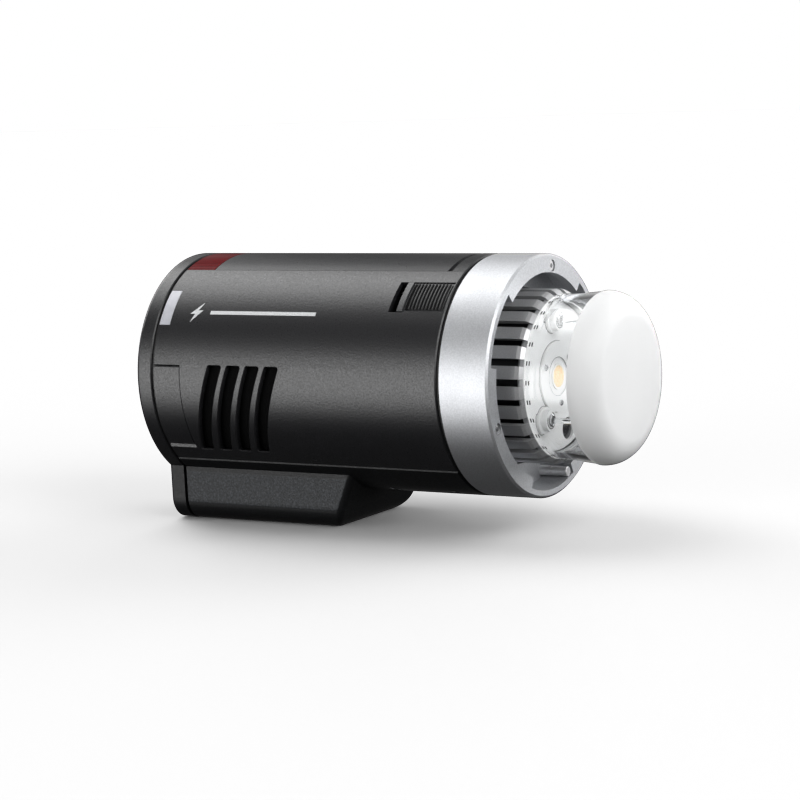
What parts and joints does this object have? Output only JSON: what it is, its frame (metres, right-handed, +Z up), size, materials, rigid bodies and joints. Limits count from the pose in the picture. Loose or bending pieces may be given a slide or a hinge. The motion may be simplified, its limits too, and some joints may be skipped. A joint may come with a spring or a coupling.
{
  "type": "monolight strobe",
  "caption": "Battery studio flash head: round barrel on a flat foot, bayonet mount ring with frosted glass lamp, rear display with dial and keys.",
  "frame": {"origin": "centre of the bounding box in plan, on the foot's flat sole", "axes": "+Z up, barrel along Y with the lamp towards -Y and the control panel towards +Y"},
  "size_m": [0.09, 0.1948, 0.102],
  "materials": {
    "barrel_plastic": "charcoal, fine sparkle texture",
    "foot_plastic": "charcoal, coarse pebble grain",
    "ring_aluminium": "satin anodised",
    "strip_plastic": "fine satin grain",
    "red_window": "deep red, translucent",
    "white_window": "milky, translucent",
    "clear_glass": "clear",
    "frosted_glass": "frosted",
    "lamp_white": "white reflector",
    "led_phosphor": "yellow phosphor",
    "cage_metal": "satin grey",
    "steel": "bright",
    "black_rubber": "matte",
    "black_plastic": "satin black",
    "panel_plastic": "satin black",
    "display_glass": "dark gloss",
    "circuit_board": "green solder mask",
    "capacitor_sleeve": "black sleeve",
    "brass": "gold coloured",
    "ferrite": "ferrite and enamelled wire",
    "plain_aluminium": "mill finish",
    "cell_foil": "laminated foil",
    "button_plastic": "soft dark grey"
  },
  "bodies": {
    "housing": {"mount_ring": "ring_aluminium", "ring_screws": "steel", "stop_pin": "steel", "front_spacer": "black_rubber", "front_bulkhead": "black_plastic", "vent_cage": "cage_metal", "lamp_base": "lamp_white", "led_board": "lamp_white", "led_chip": "led_phosphor", "lamp_heatsink": "plain_aluminium", "electrode_sockets": "lamp_white", "flash_tube": "clear_glass", "glass_body": "clear_glass", "diffuser_cap": "frosted_glass", "upper_shell": "barrel_plastic", "lower_shell": "foot_plastic", "belly_screws": "steel", "bracket_insert": "brass", "top_strip": "strip_plastic", "sensor_window": "red_window", "indicator_window": "white_window", "vent_screens": "black_plastic", "port_hinge_pin": "steel", "port_block": "black_plastic", "port_sockets": "steel", "chassis": "black_plastic", "capacitor_bank": "capacitor_sleeve", "main_board": "circuit_board", "driver_board": "circuit_board", "transformer": "ferrite", "fan_frame": "black_plastic", "rear_gasket": "black_rubber", "rear_cover": "barrel_plastic", "control_panel": "panel_plastic", "display_window": "display_glass", "display_module": "black_plastic", "control_board": "circuit_board", "tact_switches": "black_plastic", "encoder": "plain_aluminium", "bay_contacts": "brass"},
    "release": {"slider_carriage": "black_plastic", "slider_pad": "black_rubber", "lock_pin": "steel", "slider_spring": "steel"},
    "port_door": {"port_cover": "barrel_plastic"},
    "dial": {"dial_knob": "black_plastic", "dial_shaft": "steel"},
    "set_key": {"set_button": "button_plastic"},
    "menu_key": {"menu_button": "button_plastic"},
    "mode_key": {"mode_button": "button_plastic"},
    "lamp_key": {"lamp_button": "button_plastic"},
    "test_key": {"test_button": "button_plastic"},
    "wireless_key": {"wireless_button": "button_plastic"},
    "power_key": {"power_button": "button_plastic"},
    "battery": {"battery_case": "foot_plastic", "battery_cells": "cell_foil", "battery_terminals": "brass", "battery_cap": "foot_plastic"},
    "latch_key": {"latch_button": "black_rubber"},
    "fan": {"fan_rotor": "black_plastic"}
  },
  "joints": [
    {"name": "release_slide", "type": "slide", "parent": "housing", "child": "release", "axis": [0, 1, 0], "range_m": [0, 0.003], "stiffness_N_per_m": 1000},
    {"name": "port_door_hinge", "type": "hinge", "parent": "housing", "child": "port_door", "pos_m": [-0.04363, 0.0792, 0.06267], "axis": [0, 1, 0], "range_deg": [0, 90]},
    {"name": "dial_spin", "type": "hinge", "parent": "housing", "child": "dial", "pos_m": [0, 0.0912, 0.043], "axis": [0, 1, 0], "continuous": true},
    {"name": "set_press", "type": "slide", "parent": "dial", "child": "set_key", "axis": [0, -1, 0], "range_m": [0, 0.0006], "stiffness_N_per_m": 2500},
    {"name": "menu_press", "type": "slide", "parent": "housing", "child": "menu_key", "axis": [0, -1, 0], "range_m": [0, 0.0006], "stiffness_N_per_m": 2500},
    {"name": "mode_press", "type": "slide", "parent": "housing", "child": "mode_key", "axis": [0, -1, 0], "range_m": [0, 0.0006], "stiffness_N_per_m": 2500},
    {"name": "lamp_press", "type": "slide", "parent": "housing", "child": "lamp_key", "axis": [0, -1, 0], "range_m": [0, 0.0006], "stiffness_N_per_m": 2500},
    {"name": "test_press", "type": "slide", "parent": "housing", "child": "test_key", "axis": [0, -1, 0], "range_m": [0, 0.0006], "stiffness_N_per_m": 2500},
    {"name": "wireless_press", "type": "slide", "parent": "housing", "child": "wireless_key", "axis": [0, -1, 0], "range_m": [0, 0.0006], "stiffness_N_per_m": 2500},
    {"name": "power_press", "type": "slide", "parent": "housing", "child": "power_key", "axis": [0, -1, 0], "range_m": [0, 0.0006], "stiffness_N_per_m": 2500},
    {"name": "battery_slide", "type": "slide", "parent": "housing", "child": "battery", "axis": [0, 1, 0], "range_m": [0, 0.062]},
    {"name": "latch_press", "type": "slide", "parent": "battery", "child": "latch_key", "axis": [0, -1, 0], "range_m": [0, 0.0012], "stiffness_N_per_m": 1666.7},
    {"name": "fan_spin", "type": "hinge", "parent": "housing", "child": "fan", "pos_m": [0, 0.054, 0.064], "axis": [0, 1, 0], "continuous": true}
  ]
}
